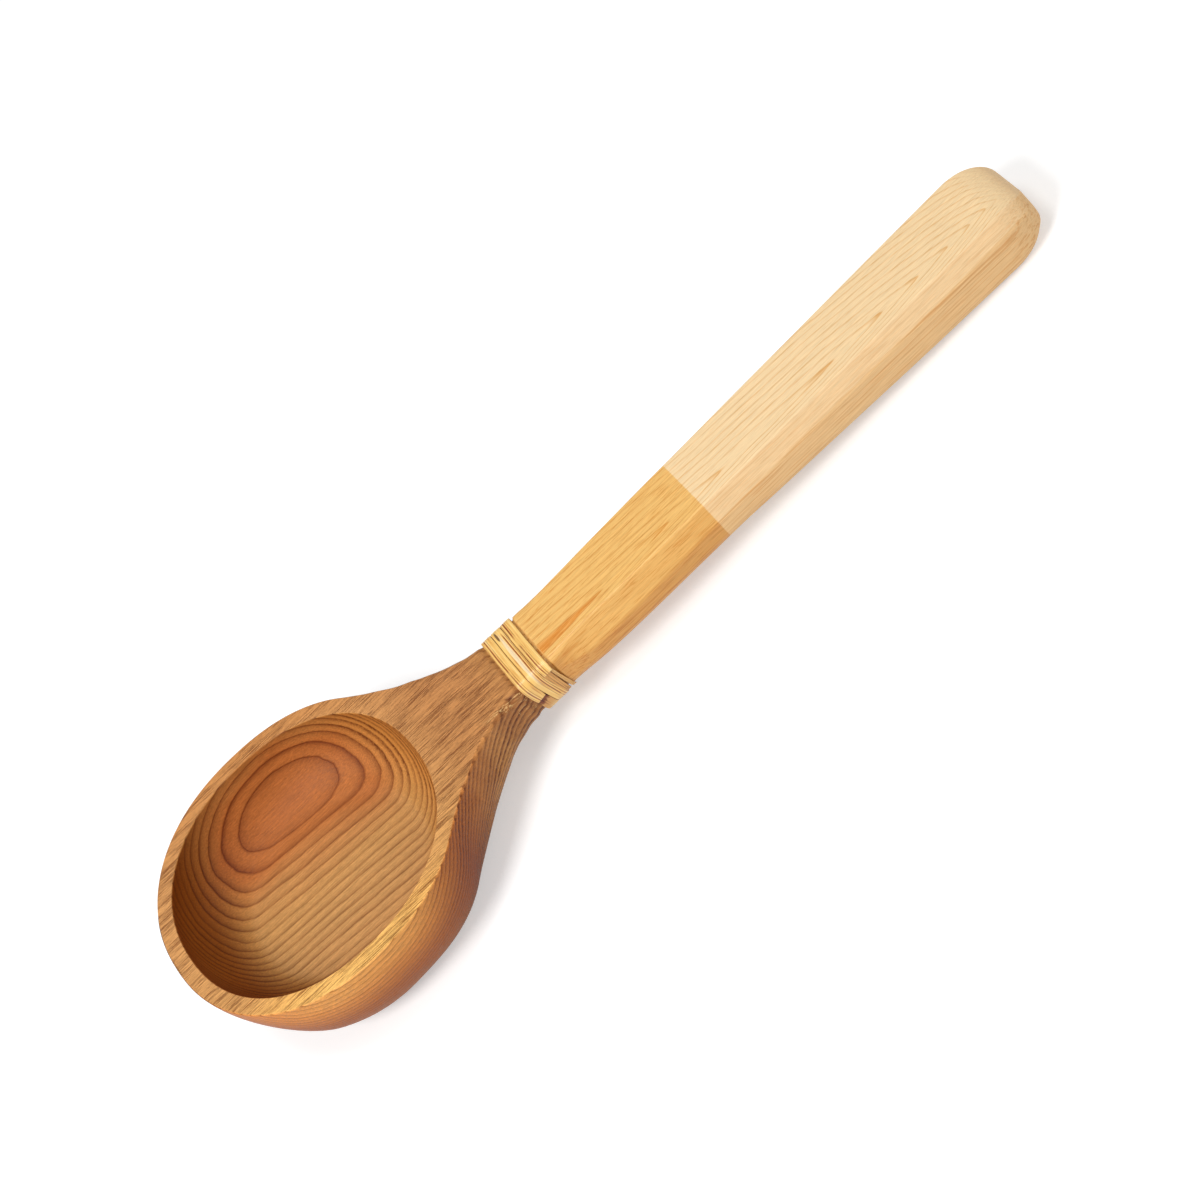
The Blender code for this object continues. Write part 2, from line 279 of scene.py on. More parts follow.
def headDepth(x):
    share = (x - bowl["dropStart"]) / (bindingStart - bowl["dropStart"])
    front = (-x - bowl["frontLiftStart"]) / (bowl["radius"] - bowl["frontLiftStart"])
    neckDepth = ladle["jointDip"] + ladle["jointShape"][3]
    return easedBlend(footDepth(x), neckDepth, share) - easedBlend(0, bowl["frontLift"], front)


def headOutline():
    # outline from the front to the joint, each point with the hub on the axis that it faces
    stations = []
    for i in range(bowl["stations"]):
        angle = blend(math.pi, bowl["leaveAngle"], i / bowl["stations"])
        stations.append((onCircle(bowl["radius"], angle), Vector((0, 0, 0))))
    start = onCircle(bowl["radius"], bowl["leaveAngle"])
    ahead = Vector((start.y, -start.x, 0)).normalized()
    end = Vector((bindingStart, ladle["jointShape"][1], 0))
    lead = start + ahead * bowl["curveLead"]
    tail = end - Vector((bowl["curveTail"], 0, 0))
    curve = interpolate_bezier(start, lead, tail, end, bowl["neckStations"])
    for before, point, after in zip([start] + curve, curve, curve[1:] + [end]):
        slope = (after.y - before.y) / (after.x - before.x)
        stations.append((point, Vector((point.x + point.y * slope, 0, 0))))
    for step in range(bowl["jointStations"]):
        share = (step + 1) / bowl["jointStations"]
        x = blend(end.x, ladle["jointReach"] - ladle["clearance"] / 2, share)
        stations.append((Vector((x, end.y, 0)), Vector((x, 0, 0))))
    return stations


def hewnAway(point, side, most):
    length, height = hewn["cut"]
    arriving = eased((point.x - hewn["start"]) / (hewn["full"] - hewn["start"]))
    leaving = eased((hewn["end"] - point.x) / hewn["fade"])
    rough = noise.noise(Vector((point.x / length, side * hewn["farSeed"], point.z / height)))
    share = 1.0 if side < 0 else hewn["farShare"]
    return most * share * arriving * leaving * max(0.0, hewn["mean"] + hewn["swing"] * rough)


def headSection(edge, hub, side):
    # half section from the top's centre line, over the rim's edge, to the underside
    inset = drawnIn(edge.x)
    inward = (hub - edge).normalized()
    edge = edge + inward * inset
    turned = bowl["sideRoundOver"]
    if edge.x < 0:
        turned = mixed(turned, bowl["frontRoundOver"], (edge.x / bowl["radius"]) ** 2)
    else:
        onNeck = edge.x / onCircle(bowl["radius"], bowl["leaveAngle"]).x
        turned = mixed(turned, bowl["neckRoundOver"], eased(onNeck))
    lower = ladle["jointShape"][6] - inset
    across, upward = mixed(turned, (lower, lower), eased(hub.x / bindingStart))
    edgeShare = (edge.x - bowl["edgeStart"]) / (bindingStart - bowl["edgeStart"])
    rim = easedBlend(bowl["outerRound"], ladle["jointShape"][4] - inset, edgeShare)
    top = inset + easedBlend(0, ladle["jointDip"], edgeShare)
    nick = hewnAway(edge, side, hewn["ridge"])
    points = [Vector((edge.x, 0, -top))]
    for i in range(bowl["edgeSteps"] + 1):
        turn = math.pi / 2 * i / bowl["edgeSteps"]
        spot = edge + inward * (rim * (1 - math.sin(turn)) + nick * math.cos(turn))
        points.append(spot - up * (top + (rim + nick) * (1 - math.cos(turn))))
    for i in range(bowl["wallSteps"] + 1):
        turn = math.pi / 2 * i / bowl["wallSteps"]
        spot = edge + inward * across * (1 - math.cos(turn))
        spot = spot - up * (headDepth(spot.x) - inset - upward * (1 - math.sin(turn)))
        if i < bowl["wallSteps"]:
            spot += inward * hewnAway(spot, side, hewn["flank"])
        points.append(spot)
    points.append(hub - up * (headDepth(hub.x) - inset))
    return points


def makeHollow():
    profile = [(hollowRadius + bowl["innerRound"], bowl["cutterRise"])]
    for i in range(1, bowl["edgeSteps"] + 1):
        turn = math.pi / 2 * i / bowl["edgeSteps"]
        reach = hollowRadius + bowl["innerRound"] * (1 - math.sin(turn))
        profile.append((reach, -bowl["innerRound"] * (1 - math.cos(turn))))
    for i in range(1, bowl["hollowSteps"] + 1):
        turn = math.pi / 2 * i / bowl["hollowSteps"]
        reach = blend(bowl["hollowFloor"], hollowRadius, math.cos(turn))
        drop = bowl["innerRound"] + (bowl["hollowDepth"] - bowl["innerRound"]) * math.sin(turn)
        profile.append((reach, -drop))
    angles = [math.tau * i / bowl["hollowFacets"] for i in range(bowl["hollowFacets"])]
    rings = [[onCircle(reach, angle) + up * height for angle in angles] for reach, height in profile]
    return place("hollow", skin("hollow", rings, (True, True)))


def makeBore(name, start, end):
    radius = ladle["dowel"] / 2 + ladle["clearance"]
    turns = [math.tau * i / ladle["boreFacets"] for i in range(ladle["boreFacets"])]
    rings = []
    for x in (start, end):
        rings.append([Vector((x, radius * math.cos(t), radius * math.sin(t) - dowelDepth)) for t in turns])
    return place(name, skin(name, rings, (True, True)))


def makeBowlHead(material):
    rings = []
    for edge, hub in headOutline():
        rings.append(ringOf(headSection(edge, hub, -1), headSection(edge, hub, 1)))
    rough = place("rough_head", skin("rough_head", rings, (False, True)))
    reach = ladle["jointReach"]
    blindEnd = reach - ladle["dowelLength"] / 2 - ladle["clearance"]
    bore = makeBore("neck_bore", blindEnd, reach + ladle["boreOverrun"])
    piece = finished("bowl_and_neck", rough, [makeHollow(), bore], material)
    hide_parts("bowl_head")
    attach(piece, "root")
    print("bowl and neck done,", len(piece.data.polygons), "faces")


def filletedSection(x, top, shape, steps):
    # half a section from the top's centre line round the ridge, the shoulder and the lower edge
    flat, half, drop, depth, *rounds = shape
    corners = [Vector((x, y, -z)) for y, z in ((flat, top), (half, top + drop), (half, depth))]
    line = [Vector((x, 0, -top)), *corners, Vector((x, 0, -depth))]
    points = [line[0]]
    for before, corner, after, radius in zip(line, corners, line[2:], rounds):
        arriving, leaving = before - corner, after - corner
        most = grip["cornerShare"] * min(arriving.length, leaving.length)
        cut = min(radius / math.tan(arriving.angle(leaving) / 2), most)
        start = corner + arriving.normalized() * cut
        end = corner + leaving.normalized() * cut
        pulled = [spot.lerp(corner, grip["cornerPull"]) for spot in (start, end)]
        points += interpolate_bezier(start, *pulled, end, steps)
    return points + [line[-1]]


def quarterFall(x, length, drop):
    along = max(0.0, (x - (tipReach - length)) / length)
    return drop * (1 - math.sqrt(max(0.0, 1 - along * along)))


def smoothRow(rows, x):
    # the values at x on smooth curves through rows that each start with their own x
    x = min(max(x, rows[0][0]), rows[-1][0])
    k = 0
    while k < len(rows) - 2 and rows[k + 1][0] < x:
        k += 1
    row, following = rows[k], rows[k + 1]
    before = rows[max(k - 1, 0)]
    after = rows[min(k + 2, len(rows) - 1)]
    run = following[0] - row[0]
    share = (x - row[0]) / run
    values = []
    for first, start, end, last in zip(before[1:], row[1:], following[1:], after[1:]):
        rise = end - start
        leave = (end - first) / (following[0] - before[0]) * run
        arrive = (last - start) / (after[0] - row[0]) * run
        bow = (1 - share) * (leave - rise) + share * (rise - arrive)
        values.append(blend(start, end, share) + share * (1 - share) * bow)
    return values


def handleSection(x):
    along = max(0.0, (x - bindingEnd) / (lowTipReach - bindingEnd))
    flat, half, depth = smoothRow(grip["profile"], x)
    shape = ladle["jointShape"]
    edges = mixed(grip["gripEdges"], grip["tipEdges"], along)
    flared = eased((x - bindingEnd) / grip["flareLength"])
    drop, *rounds = mixed((shape[2], *shape[4:]), edges, flared)
    inset = drawnIn(x)
    narrowed = inset + quarterFall(x, *grip["tipCorner"])
    rise = (x - ladle["jointReach"]) * grip["rise"] - ladle["jointDip"]
    top = inset + quarterFall(x, *grip["topRoll"]) - rise
    depth -= inset + quarterFall(x, *grip["underRoll"]) + rise
    own = (flat - narrowed, half - narrowed, drop, depth, *rounds)
    return filletedSection(x, top, own, grip["cornerSteps"])


def handlePlaces():
    first = ladle["jointReach"] + ladle["clearance"] / 2
    flareEnd = bindingEnd + grip["flareLength"]
    curveStart = tipReach - grip["tipCorner"][0]
    flare = [blend(first, flareEnd, i / grip["flareStations"]) for i in range(grip["flareStations"])]
    straight = [blend(flareEnd, curveStart, i / grip["stations"]) for i in range(grip["stations"])]
    curved = [math.sin(math.pi / 2 * i / grip["tipStations"]) for i in range(grip["tipStations"] + 1)]
    return flare + straight + [blend(curveStart, tipReach, share) for share in curved]


def makeHandle(material):
    rings = []
    for x in handlePlaces():
        half = handleSection(x)
        rings.append(ringOf(half, half))
    rough = place("rough_handle", skin("rough_handle", rings, (True, True)))
    reach = ladle["jointReach"]
    blindEnd = reach + ladle["dowelLength"] / 2 + ladle["clearance"]
    bore = makeBore("handle_bore", reach - ladle["boreOverrun"], blindEnd)
    piece = finished("handle_wood", rough, [bore], material)
    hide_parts("handle")
    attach(piece, "root")
    print("handle done,", len(piece.data.polygons), "faces")


def paint(red, green, blue):
    # a colour as seen on screen, 0 to 255, to the linear value that a shader takes
    channels = [value / 255 for value in (red, green, blue)]
    return tuple(c / 12.92 if c <= 0.04045 else ((c + 0.055) / 1.055) ** 2.4 for c in channels) + (1,)


def tint(red, green, blue):
    # a factor for each channel, as seen on screen
    return tuple(value ** 2.2 for value in (red, green, blue)) + (1,)


# Helpers for node trees. A value given to them is a number, a colour or another node's output, and the
# nodes that they add go into that output's tree.
def treeOf(values):
    return next(value.id_data for value in values if isinstance(value, bpy.types.NodeSocket))


def feed(socket, value):
    if isinstance(value, bpy.types.NodeSocket):
        socket.id_data.links.new(value, socket)
    else:
        socket.default_value = value


def addNode(tree, kind, inputs=None, family="ShaderNode", **settings):
    made = tree.nodes.new(family + kind)
    for name, value in settings.items():
        setattr(made, name, value)
    for name, value in (inputs or {}).items():
        feed(made.inputs[name], value)
    return made


def addMath(operation, *values):
    return addNode(treeOf(values), "Math", dict(enumerate(values)), operation=operation).outputs[0]


def times(value, *others):
    for other in others:
        value = addMath("MULTIPLY", value, other)
    return value


def addRange(value, start, end, low=0.0, high=1.0):
    inputs = {"Value": value, "From Min": start, "From Max": end, "To Min": low, "To Max": high}
    return addNode(value.id_data, "MapRange", inputs, interpolation_type="SMOOTHSTEP").outputs[0]


def addMix(share, first, second, mode="MIX"):
    values = (share, first, second)
    made = addNode(treeOf(values), "Mix", data_type="RGBA", blend_type=mode)
    for index, value in zip((0, 6, 7), values):
        feed(made.inputs[index], value)
    return made.outputs[2]


def tinted(colour, share, factors):
    # the colour with each channel changed by its factor, as far as the share goes
    return addMix(share, colour, tint(*factors), "MULTIPLY")


def addNoise(spot, stretch, detail=2.0, roughness=0.5):
    # stretch holds the pattern's size in mm along the ladle, across it and up
    tree = spot.id_data
    finer = addNode(tree, "Mapping", {"Vector": spot, "Scale": [1 / size for size in stretch]})
    inputs = {"Vector": finer.outputs[0], "Scale": 1.0, "Detail": detail, "Roughness": roughness}
    return addNode(tree, "TexNoise", inputs).outputs[0]


def addWaves(spot, waves):
    # how far the rings swing at each spot, in mm
    swings = []
    for size, detail, most in waves:
        swings.append(addRange(addNoise(spot, size, detail), 0, 1, -most, most))
    return addMath("ADD", *swings)


def addSteps(value, steps):
    # a curve through (place, height) steps, or through (place, colour) steps, from 0 to 1
    ramp = addNode(value.id_data, "ValToRGB", {"Fac": value})
    while len(ramp.color_ramp.elements) < len(steps):
        ramp.color_ramp.elements.new(0.5)
    for element, (spot, height) in zip(ramp.color_ramp.elements, steps):
        element.position = spot
        element.color = paint(*height) if isinstance(height, tuple) else (height, height, height, 1)
    return ramp.outputs[0]


def addCourse(value, steps):
    # the same for a value that runs from the first step's place to the last one's
    first, last = steps[0][0], steps[-1][0]
    run = addMath("DIVIDE", addMath("SUBTRACT", value, first), last - first)
    return addSteps(run, [((at - first) / (last - first), height) for at, height in steps])


def newMaterial(name):
    material = bpy.data.materials.new(name)
    material.use_nodes = True
    return material, material.node_tree, material.node_tree.nodes["Principled BSDF"]


def split(vector):
    # a vector's parts along the ladle, across it and up
    return addNode(vector.id_data, "SeparateXYZ", {"Vector": vector}).outputs


def ownPlace(tree):
    # the place in mm in the ladle's own axes
    inputs = {
        "Vector": addNode(tree, "TexCoord").outputs["Object"],
        "Location": ladleAxes.translation,
        "Rotation": (0, ladle["lean"], 0),
        "Scale": (millimetre, millimetre, millimetre),
    }
    return addNode(tree, "Mapping", inputs, vector_type="TEXTURE").outputs[0]


def facing(tree):
    # how much a surface faces the tip, the far side and up, 0 to 1 but for its sign
    return split(addNode(tree, "NewGeometry").outputs["Normal"])


def addFinish(shader, colour, roughness, gloss, relief, depth):
    # depth is the real height of the relief in metres
    feed(shader.inputs["Base Color"], colour)
    feed(shader.inputs["Roughness"], roughness)
    shader.inputs["Specular IOR Level"].default_value = gloss
    bump = addNode(shader.id_data, "Bump", {"Height": relief, "Distance": depth, "Strength": 1.0})
    feed(shader.inputs["Normal"], bump.outputs[0])


def within(value, start, end, fade):
    # 1 between start and end, fading to 0 outside them
    rising = addRange(value, start - fade, start)
    return times(rising, addRange(value, end, end + fade, 1.0, 0.0))


def addZone(parts, zone):
    # 1 in a box, given as start, end and fade along the ladle, across it and up
    return times(*(within(part, *reach) for part, reach in zip(parts, zone) if reach))


cedarLook = {
    # colours by the place in mm across the rings, from the near rim to the far underside
    "body": (
        (-38, (255, 188, 104)), (-28, (246, 172, 94)), (-17, (220, 150, 84)), (-4, (204, 144, 82)),
        (12, (202, 146, 82)), (25, (203, 146, 80)), (31, (202, 140, 76)), (37, (188, 112, 54)),
        (43, (178, 102, 46)),
    ),
    "top": (
        (-38, (255, 202, 114)), (-31, (252, 190, 106)), (-24, (226, 166, 98)), (-14, (220, 160, 96)),
        (18, (221, 159, 97)), (34, (214, 148, 86)), (43, (210, 144, 82)),
    ),
    # painted shade that darkens the top along the neck
    "neckTopShade": (0.925, 0.885, 0.875),
    "ringLine": (0.58, 0.43, 0.32),
    "flankLine": (0.50, 0.37, 0.28),
    "flankTint": (1.10, 1.12, 1.16),
    "byCane": (0.84, 0.78, 0.76),
    # where the bowl faces down: partly the wood's redder colour, partly painted shade
    "lowToneAndShade": (0.79, 0.63, 0.43),
    # painted shade on the hollow's near wall, which faces away from the key lamp
    "nearWallShade": (0.83, 0.73, 0.52),
    "grainAndShadeToTip": (0.73, 0.57, 0.34),  # cut fibres darken a surface that faces the tip; painted shade darkens it more, as it faces away from the key lamp
    "grainToFront": (0.93, 0.84, 0.70),
    # a painted sheen that lightens the hollow's flat floor
    "paintedFloorSheen": (1.01, 1.03, 1.10),
    "torn": (0.66, 0.55, 0.47),
    "chip": (240, 196, 130),
    "chipStrength": 0.75,
    "ringSlope": (0.05, 0.60, -0.80),  # which way the rings are stacked, in the ladle's axes
    "ringStart": -5.0,  # mm, beyond which the rings get wider
    "ringWidth": 1.85,  # mm
    "ringGrowth": 0.03,
    "ringShift": 0.46,
    "outerFade": 0.32,  # how much fainter the rings are on the bowl's outside
    # how dark a ring is from its inside to its outside, where it is thin and where it is broad
    "thinRing": ((0.0, 1.0), (0.1, 0.66), (0.34, 0.2), (0.7, 0.0), (0.9, 0.08), (1.0, 1.0)),
    "broadRing": ((0.0, 1.0), (0.22, 0.85), (0.5, 0.25), (0.75, 0.0), (0.9, 0.3), (1.0, 1.0)),
    # where a look comes in or ends, in mm along the ladle
    "neckTopStart": (40, 72),
    "bowlEnd": (38, 66),
    "outerEnd": (10, 50),
    "flank": (48, 130, 22),
    "byCaneStart": (74, 88),
    # where one comes in, in mm from the rim up
    "topLevel": (-1.6, -0.5),
    "wallLevel": (-0.8, -3.0),
    "floorLevel": (-23.0, -24.6),
    # where splinters show: start, end and fade in mm along the ladle, across it and up
    "nearRidge": ((80, 96, 3), (-16.2, -14.6, 0.3), (-3.4, 0, 0.8)),
    "farRidge": ((91, 96, 2), (14.4, 16.5, 0.4), (-3.4, 0, 0.8)),
    "neckFlank": ((90, 96, 3), None, (-12, -5, 2.0)),
    # patterns: size in mm along the ladle, across it and up, then the detail and the roughness
    "clouds": ((50, 20, 20), 2.0),
    "fray": ((2.6, 0.8, 0.8), 3.0, 0.65),
    "streaks": ((12, 0.42, 0.8), 4.0, 0.72),
    "patches": ((30, 3.0, 6), 2.0),
    "fibres": ((9, 0.45, 0.45), 4.0, 0.7),
    "specks": ((1.6, 0.4, 0.4), 2.0, 0.6),
    "chips": ((11, 0.4, 0.4), 3.0, 0.6),
    "waves": (((80, 22, 22), 1.0, 0.9), ((14, 3.5, 3.5), 1.0, 0.2)),  # size, detail and swing in mm
    "cloudSwing": 5.0,  # mm
    "roughness": (0.40, 0.56),  # between the fibres and on them
    "gloss": 0.2,
    "relief": 0.00016,  # in metres
}


def addRings(spot, look):
    # place across the rings in mm, and the growth ring's number: even at first, then wider and wider
    across = addWaves(spot, look["waves"])
    for part, share in zip(split(spot), look["ringSlope"]):
        across = addMath("MULTIPLY_ADD", part, share, across)
    beyond = addMath("SUBTRACT", across, look["ringStart"])
    even = addMath("DIVIDE", addMath("MINIMUM", beyond, 0.0), look["ringWidth"])
    growth = look["ringGrowth"] / look["ringWidth"]
    wider = addMath("MULTIPLY_ADD", addMath("MAXIMUM", beyond, 0.0), growth, 1.0)
    wide = addMath("DIVIDE", addMath("LOGARITHM", wider, math.e), look["ringGrowth"])
    number = addMath("ADD", even, wide)
    return across, addMath("SUBTRACT", number, look["ringShift"])


def makeCedar():
    look = cedarLook
    material, tree, shader = newMaterial("cedar")
    spot = ownPlace(tree)
    parts = split(spot)
    along, height = parts[0], parts[2]
    tipward, sideward, upward = facing(tree)
    across, number = addRings(spot, look)
    swing = look["cloudSwing"]
    clouds = addMath("MULTIPLY_ADD", addNoise(spot, *look["clouds"]), 2 * swing, -swing)
    reach = addMath("ADD", across, clouds)
    body = addCourse(reach, look["body"])

    # fibres cut through darken the wood; where they face the tip, away from the key lamp, painted shade
    # darkens it more
    body = tinted(body, addRange(tipward, 0.1, 0.85), look["grainAndShadeToTip"])
    body = tinted(body, addRange(tipward, -0.2, -0.9), look["grainToFront"])
    # a painted sheen lightens the hollow's flat floor
    onFloor = times(addRange(height, *look["floorLevel"]), addRange(upward, 0.93, 0.995))
    body = tinted(body, onFloor, look["paintedFloorSheen"])
    topward = addRange(upward, 0.75, 0.97)
    onTop = times(addRange(height, *look["topLevel"]), topward)
    # painted shade darkens the sawn top along the neck
    onNeck = addRange(along, *look["neckTopStart"])
    topBody = tinted(addCourse(reach, look["top"]), onNeck, look["neckTopShade"])
    body = addMix(onTop, body, topBody)
    # where the bowl faces down it is darker and redder: partly the wood's colour, partly painted shade
    onBowl = addRange(along, *look["bowlEnd"], 1.0, 0.0)
    low = times(addRange(upward, 0.25, -0.42), onBowl)
    body = tinted(body, low, look["lowToneAndShade"])
    # painted shadow on the hollow's near wall, which faces away from the key lamp
    nearWallShade = times(addRange(sideward, 0.0, 0.34), addRange(upward, 0.0, 0.1))
    nearWallShade = times(nearWallShade, addRange(height, *look["wallLevel"]))
    body = tinted(body, nearWallShade, look["nearWallShade"])

    # growth rings: thin lines in the hollow, broad and rough ones on the neck's cut sides
    share = addMath("FRACT", number)
    whole = addMath("FLOOR", number)
    strength = addNode(tree, "TexWhiteNoise", {"W": whole}, noise_dimensions="1D").outputs[0]
    outer = addRange(along, *look["outerEnd"], look["outerFade"], 0.0)
    outer = addMath("SUBTRACT", 1.0, times(outer, addRange(upward, 0.3, 0.0)))
    strength = times(addRange(strength, 0, 1, 0.55, 1.0), outer)
    level = addRange(upward, 0.80, 0.99, 1.0, 0.75)
    thin = times(addSteps(share, look["thinRing"]), strength, level)
    fray = addRange(addNoise(spot, *look["fray"]), 0.3, 0.7, 0.55, 1.25)
    broad = times(addSteps(share, look["broadRing"]), fray, strength)
    flank = times(within(along, *look["flank"]), addMath("SUBTRACT", 1.0, topward))
    sideLine = addMix(flank, thin, broad)
    body = tinted(body, flank, look["flankTint"])
    byCane = times(flank, addRange(along, *look["byCaneStart"]))
    body = tinted(body, byCane, look["byCane"])
    dark = addMix(flank, tint(*look["ringLine"]), tint(*look["flankLine"]))

    # the sawn top shows torn fibres in place of clean ring lines
    streaks = addNoise(spot, *look["streaks"])
    torn = addMath("MULTIPLY_ADD", addNoise(spot, *look["patches"]), 0.4, streaks)
    torn = addRange(torn, 0.66, 0.88)
    topLine = addMath("MAXIMUM", times(thin, 0.25), torn)
    mark = addMix(onTop, sideLine, topLine)
    dark = addMix(onTop, dark, tint(*look["torn"]))
    colour = addMix(mark, body, dark, "MULTIPLY")
    pale = addRange(streaks, 0.44, 0.28, 1.0, 1.18)
    colour = addMix(onTop, colour, pale, "MULTIPLY")
    fibres = addNoise(spot, *look["fibres"])
    speckShade = addRange(addNoise(spot, *look["specks"]), 0.25, 0.75, 0.90, 1.10)
    shade = times(addRange(fibres, 0.25, 0.75, 0.77, 1.17), speckShade)
    colour = addMix(1.0, colour, shade, "MULTIPLY")

    # pale splinters along the cut ridges and the flank by the cane
    chips = addNoise(spot, *look["chips"])
    ridges = (addZone(parts, look[name]) for name in ("nearRidge", "farRidge"))
    onRidges = times(addMath("MAXIMUM", *ridges), addRange(chips, 0.48, 0.60))
    onFlank = times(addZone(parts, look["neckFlank"]), addRange(chips, 0.60, 0.66))
    splinters = times(addMath("MAXIMUM", onRidges, onFlank), look["chipStrength"])
    colour = addMix(splinters, colour, paint(*look["chip"]))
    roughness = addRange(fibres, 0.3, 0.7, *look["roughness"])
    relief = addMath("MULTIPLY_ADD", mark, -0.7, fibres)
    addFinish(shader, colour, roughness, look["gloss"], relief, look["relief"])
    return material


softwoodLook = {
    "bare": (246, 215, 167),
    "amber": (241, 192, 114),
    "bareLine": (0.92, 0.81, 0.67),
    "amberLine": (0.90, 0.77, 0.60),
    "ringTop": (0.96, 0.87, 0.72),  # where a ring's top lies broad on the surface
    "heart": (0.93, 0.74, 0.50),
    # the sides' tint and the tints where they face down: partly the wood's tone, partly painted shade
    "sideToneAndShade": (0.985, 0.965, 0.955),
    "sideLine": (0.93, 0.84, 0.74),
    "bareLow": (1.005, 0.965, 0.895),
    "amberLow": (0.95, 0.89, 0.81),
    "finishEnd": 185.0,  # mm, where the lacquer stops
    "finishFade": 0.5,
    "heartAside": -8.2,  # mm, the line of the rings' tops
    # where along that line each ring's top lies, in mm
    "ringTops": (
        (102, 0), (139.4, 1), (172.7, 2), (197.9, 3), (252.2, 4), (276, 5), (293.5, 6), (307.9, 7),
        (318.7, 8), (326.4, 9), (333, 10), (338, 11), (342, 12),
    ),
    "ringBend": 0.55,  # 0 gives pointed ring tops, more gives rounder ones
    "ringSpread": (0.34, 0.62),  # rings for each mm away from the heart, on the far and the near side
    "ring": ((0.0, 0.7), (0.05, 0.12), (0.2, 0.0), (0.74, 0.0), (0.9, 0.55), (1.0, 1.0)),
    "ringsEnd": (327.5, 331),  # mm, where the rings fade towards the tip
    "heartReach": (0.5, 3.0),  # mm from the heart, where a ring's top ends
    # patterns, as for the cedar
    "fibres": ((15, 0.6, 0.6), 3.0, 0.65),
    "dashes": ((5, 0.42, 0.42), 2.0, 0.6),
    "flecks": ((11, 0.38, 0.38), 3.0, 0.65),
    "streaks": ((60, 1.6, 1.6), 2.0, 0.6),
    "sideGrain": ((60, 0.8, 0.8), 2.0, 0.6),
    "waves": (((90, 16, 16), 1.0, 1.0), ((10, 1.6, 1.6), 2.0, 0.3)),
    "gloss": 0.35,
    "relief": 0.0001,
}


def makeSoftwood():
    look = softwoodLook
    material, tree, shader = newMaterial("softwood")
    spot = ownPlace(tree)
    along, sideways, height = split(spot)
    upward = facing(tree)[2]
    onTop = addRange(upward, 0.80, 0.95)
    patterns = (addNoise(spot, *look[name]) for name in ("fibres", "dashes", "flecks", "streaks"))
    fibres, dashes, flecks, streaks = patterns
    edge = addMath("MULTIPLY_ADD", fibres, 0.5, along)
    bareShare = addRange(edge, look["finishEnd"], look["finishEnd"] + look["finishFade"])

    # growth rings cut lengthwise: each is a long V whose top lies on the heart's line
    aside = addMath("SUBTRACT", sideways, look["heartAside"])
    aside = addMath("ADD", aside, addWaves(spot, look["waves"]))
    far, near = look["ringSpread"]
    spread = addMath("MAXIMUM", times(aside, far), times(aside, -near))
    start = -(ladle["jointReach"] * grip["rise"] + ladle["jointDip"]) / millimetre
    below = addMath("SUBTRACT", addMath("MULTIPLY_ADD", along, grip["rise"], start), height)
    spread = addMath("MULTIPLY_ADD", addMath("MAXIMUM", below, 0.0), near, spread)
    bend = look["ringBend"]
    spread = addMath("SQRT", addMath("MULTIPLY_ADD", spread, spread, bend * bend))
    rings = look["ringTops"][-1][1]
    passed = addCourse(along, [(at, ring / rings) for at, ring in look["ringTops"]])
    number = addMath("MULTIPLY_ADD", passed, rings, addMath("SUBTRACT", spread, bend))
    line = addSteps(addMath("FRACT", number), look["ring"])
    broken = addRange(addMath("MULTIPLY_ADD", dashes, 0.5, fibres), 0.58, 0.88, 0.6, 1.1)
    line = times(line, broken, addRange(streaks, 0.3, 0.7, 0.6, 1.0))
    line = times(line, addMath("MULTIPLY_ADD", onTop, 0.75, 0.25))
    line = times(line, addRange(along, *look["ringsEnd"], 1.0, 0.3))
    body = addMix(bareShare, paint(*look["amber"]), paint(*look["bare"]))
    dark = addMix(bareShare, tint(*look["amberLine"]), tint(*look["bareLine"]))
    colour = addMix(line, body, dark, "MULTIPLY")
    byHeart = addRange(addMath("ABSOLUTE", aside), *look["heartReach"], 1.0, 0.0)
    colour = tinted(colour, times(line, byHeart), look["ringTop"])

    # the wood inside the innermost ring is orange
    inner = times(addRange(number, 1.02, 0.72), onTop)
    inner = times(inner, addRange(fibres, 0.35, 0.6, 0.5, 1.0))
    colour = tinted(colour, inner, look["heart"])

    # the cut sides are warmer, and darker and finely lined lower down: the warmth and darkness are partly
    # the wood's tone, partly painted shade
    side = addMath("SUBTRACT", 1.0, onTop)
    colour = tinted(colour, side, look["sideToneAndShade"])
    low = addRange(upward, 0.60, 0.25)
    lowToneAndShade = addMix(bareShare, tint(*look["amberLow"]), tint(*look["bareLow"]))
    colour = addMix(low, colour, lowToneAndShade, "MULTIPLY")
    sideLines = addRange(addNoise(spot, *look["sideGrain"]), 0.5, 0.66)
    sideLines = times(sideLines, addMath("MULTIPLY_ADD", low, 0.7, 0.2), side)
    colour = tinted(colour, sideLines, look["sideLine"])

    # short dark fibres show most under the lacquer
    underLacquer = addRange(bareShare, 0, 1, 0.75, 0.25)
    fleck = times(addRange(flecks, 0.50, 0.66), underLacquer)
    colour = tinted(colour, fleck, look["amberLine"])
    dashShade = addRange(dashes, 0.25, 0.75, 0.96, 1.04)
    shade = times(addRange(fibres, 0.25, 0.75, 1.05, 0.95), dashShade)
    colour = addMix(1.0, colour, shade, "MULTIPLY")
    roughness = addMath("MULTIPLY_ADD", bareShare, 0.2, 0.38)
    relief = times(fibres, addMath("MULTIPLY_ADD", bareShare, 0.7, 0.3))
    addFinish(shader, colour, roughness, look["gloss"], relief, look["relief"])
    return material


